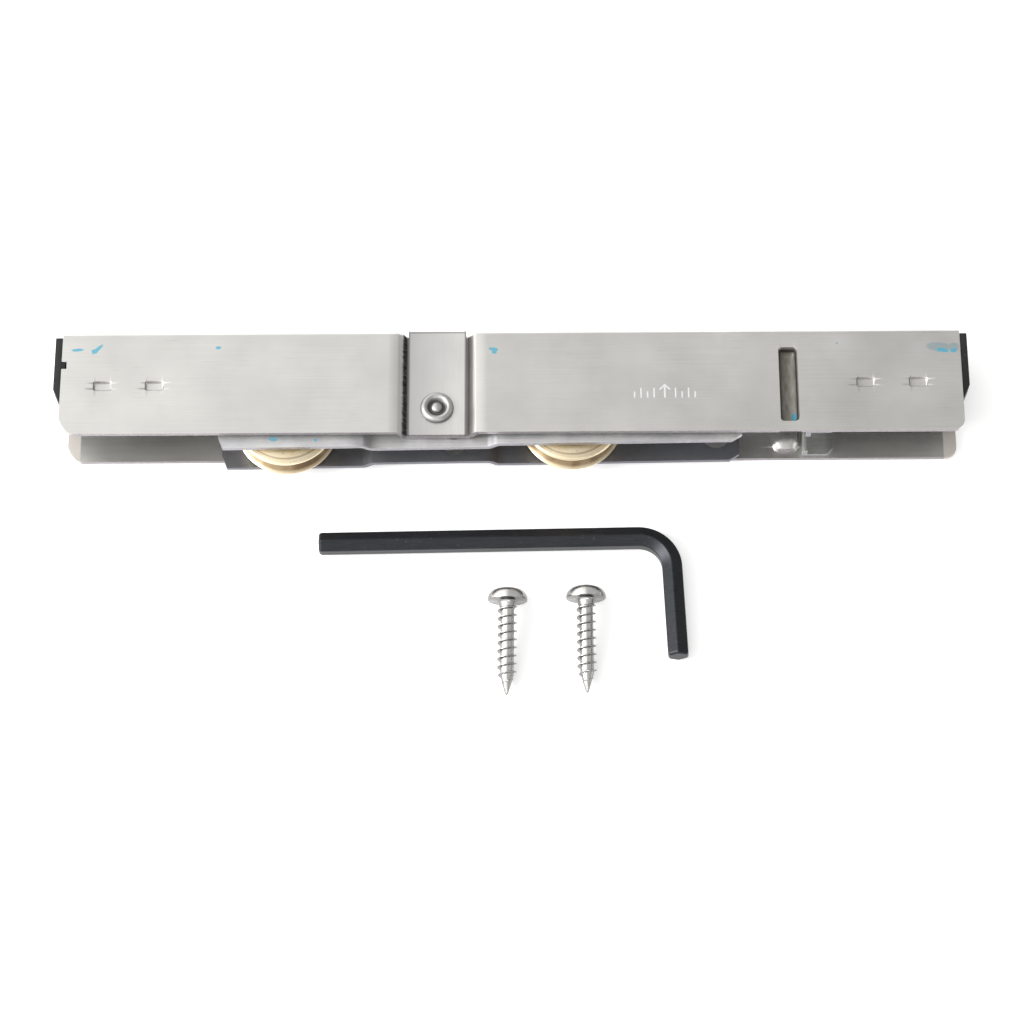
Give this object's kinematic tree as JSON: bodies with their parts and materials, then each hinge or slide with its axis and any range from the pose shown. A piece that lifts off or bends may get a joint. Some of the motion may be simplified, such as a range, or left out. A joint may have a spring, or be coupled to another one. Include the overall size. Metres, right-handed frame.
{
  "type": "sliding door roller",
  "caption": "Adjustable tandem roller cassette for a sliding door, in a pressed steel housing, with its hex key and self-tapping fixing screws.",
  "frame": {"origin": "middle of the housing's length and height, on the outer face of its back flange, which lies on the bench", "axes": "+X along the housing towards the adjusting screw's end, +Y out of the web towards the door rail, +Z out of the front flange"},
  "size_m": [0.1622, 0.0657, 0.013],
  "materials": {
    "housing_steel": "stainless sheet, brushed lengthwise, as rolled",
    "strap_steel": "stainless sheet, smoother than the housing",
    "rivet_steel": "turned bright steel",
    "truck_zinc": "bluish plated sheet",
    "dark_zinc": "dull zinc",
    "wheel_brass": "turned, satin, pale gold",
    "black_plastic": "moulded, dull",
    "black_oxide": "black oxide on steel, slightly oily",
    "screw_nickel": "bright nickel plate"
  },
  "bodies": {
    "root": {"housing_channel": "housing_steel", "saddle_strap": "strap_steel", "pivot_rivet": "rivet_steel", "thrust_bracket": "strap_steel", "thrust_washer": "rivet_steel", "end_plug_left": "black_plastic", "end_plug_right": "black_plastic"},
    "bush": {"slide_bush": "rivet_steel"},
    "truck": {"truck_frame": "truck_zinc", "axle_left": "rivet_steel", "axle_right": "rivet_steel", "inner_race_left": "rivet_steel", "inner_race_right": "rivet_steel", "front_washer_left": "dark_zinc", "back_washer_left": "dark_zinc", "front_washer_right": "dark_zinc", "back_washer_right": "dark_zinc"},
    "wheel_left_turning": {"wheel_left": "wheel_brass", "outer_race_left": "rivet_steel"},
    "wheel_right_turning": {"wheel_right": "wheel_brass", "outer_race_right": "rivet_steel"},
    "balls_left": {"ball_set_left": "rivet_steel"},
    "balls_right": {"ball_set_right": "rivet_steel"},
    "adjuster": {"adjust_screw": "dark_zinc"},
    "nut": {"draw_nut": "rivet_steel"},
    "key": {"hex_key": "black_oxide"},
    "loose_screw_left": {"fixing_screw_left": "screw_nickel"},
    "loose_screw_right": {"fixing_screw_right": "screw_nickel"}
  },
  "joints": [
    {"name": "truck_rock", "type": "hinge", "parent": "root", "child": "bush", "pos_m": [-0.0131, -0.00485, 0.0065], "axis": [0, 0, 1], "range_deg": [-1.8, 1.2]},
    {"name": "truck_lift", "type": "slide", "parent": "bush", "child": "truck", "axis": [-0.7071, 0.7071, 0], "range_m": [-0.001, 0.004]},
    {"name": "wheel_spin_left", "type": "hinge", "parent": "truck", "child": "wheel_left_turning", "pos_m": [-0.03995, -0.00514, 0.0065], "axis": [0, 0, 1], "continuous": true},
    {"name": "wheel_spin_right", "type": "hinge", "parent": "truck", "child": "wheel_right_turning", "pos_m": [0.01075, -0.00453, 0.0065], "axis": [0, 0, 1], "continuous": true},
    {"name": "ball_roll_left", "type": "hinge", "parent": "truck", "child": "balls_left", "pos_m": [-0.03995, -0.00514, 0.0065], "axis": [0, 0, 1], "continuous": true},
    {"name": "ball_roll_right", "type": "hinge", "parent": "truck", "child": "balls_right", "pos_m": [0.01075, -0.00453, 0.0065], "axis": [0, 0, 1], "continuous": true},
    {"name": "adjust_turn", "type": "hinge", "parent": "root", "child": "adjuster", "pos_m": [0.054, -0.0015, 0.0065], "axis": [1, 0, 0], "range_deg": [-322, 1284]},
    {"name": "nut_draw", "type": "slide", "parent": "root", "child": "nut", "axis": [-1, 0, 0], "range_m": [-0.00071, 0.00283]},
    {"name": "key_lift", "type": "slide", "parent": "root", "child": "key", "axis": [0, 0, 1], "range_m": [0, 0.04]},
    {"name": "screw_lift_left", "type": "slide", "parent": "root", "child": "loose_screw_left", "axis": [0, 0, 1], "range_m": [0, 0.04]},
    {"name": "screw_lift_right", "type": "slide", "parent": "root", "child": "loose_screw_right", "axis": [0, 0, 1], "range_m": [0, 0.04]}
  ],
  "couplings": [
    {"joint": "adjust_turn", "follows": "truck_lift", "rad_per_m": 5595.6},
    {"joint": "nut_draw", "follows": "truck_lift", "ratio": 0.7071},
    {"joint": "ball_roll_left", "follows": "wheel_spin_left", "ratio": 0.6181},
    {"joint": "ball_roll_right", "follows": "wheel_spin_right", "ratio": 0.6181}
  ]
}
